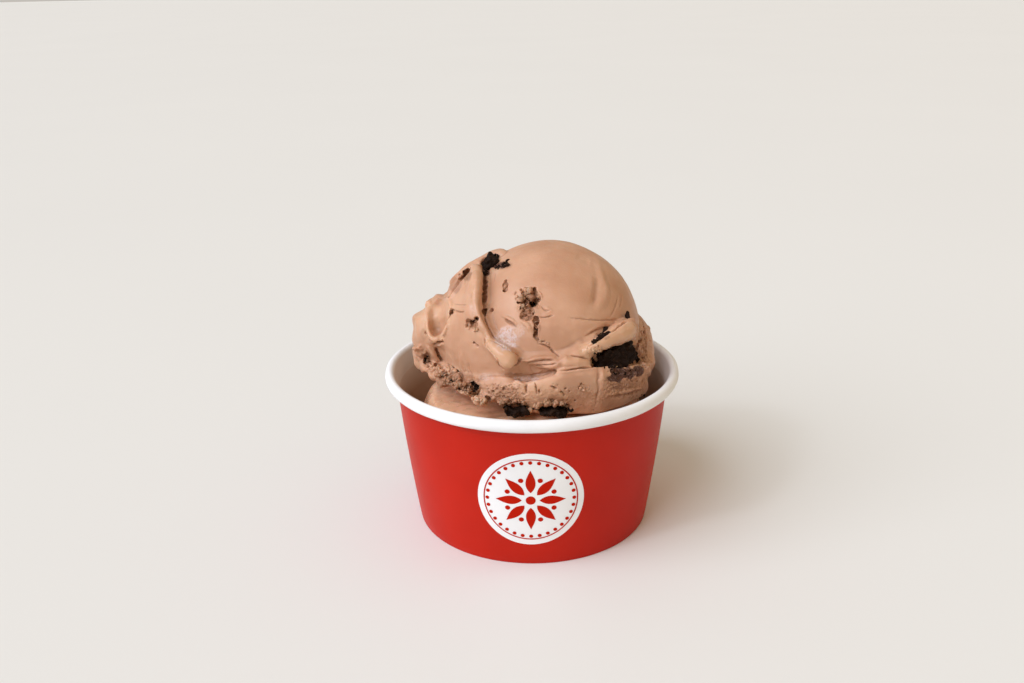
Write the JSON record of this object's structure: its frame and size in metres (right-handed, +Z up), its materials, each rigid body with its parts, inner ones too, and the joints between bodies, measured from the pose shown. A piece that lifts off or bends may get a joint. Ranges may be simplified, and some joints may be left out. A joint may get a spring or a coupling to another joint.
{
  "type": "cup of ice cream",
  "caption": "Scoop of chocolate ice cream with dark cookie chunks, in a round paper cup with a rolled rim.",
  "frame": {"origin": "middle of the cup's foot, on the surface that it stands on", "axes": "+Z up, -Y towards the front with the label disc, +X to the right seen from the front"},
  "size_m": [0.096, 0.096, 0.0926],
  "materials": {
    "cup_paper": "gloss",
    "cup_base_paper": "satin",
    "ice_cream": "satin",
    "cookie": "matte"
  },
  "bodies": {
    "root": {"cup_wall": "cup_paper", "cup_base": "cup_base_paper", "lower_scoop": "ice_cream", "ice_cream_scoop": "ice_cream", "chunk_right": "cookie", "chunk_upper_right": "cookie", "chunk_top_left": "cookie", "chunk_front_left": "cookie", "chunk_front_right": "cookie", "chunk_back": "cookie", "chunk_back_left": "cookie"}
  },
  "joints": []
}
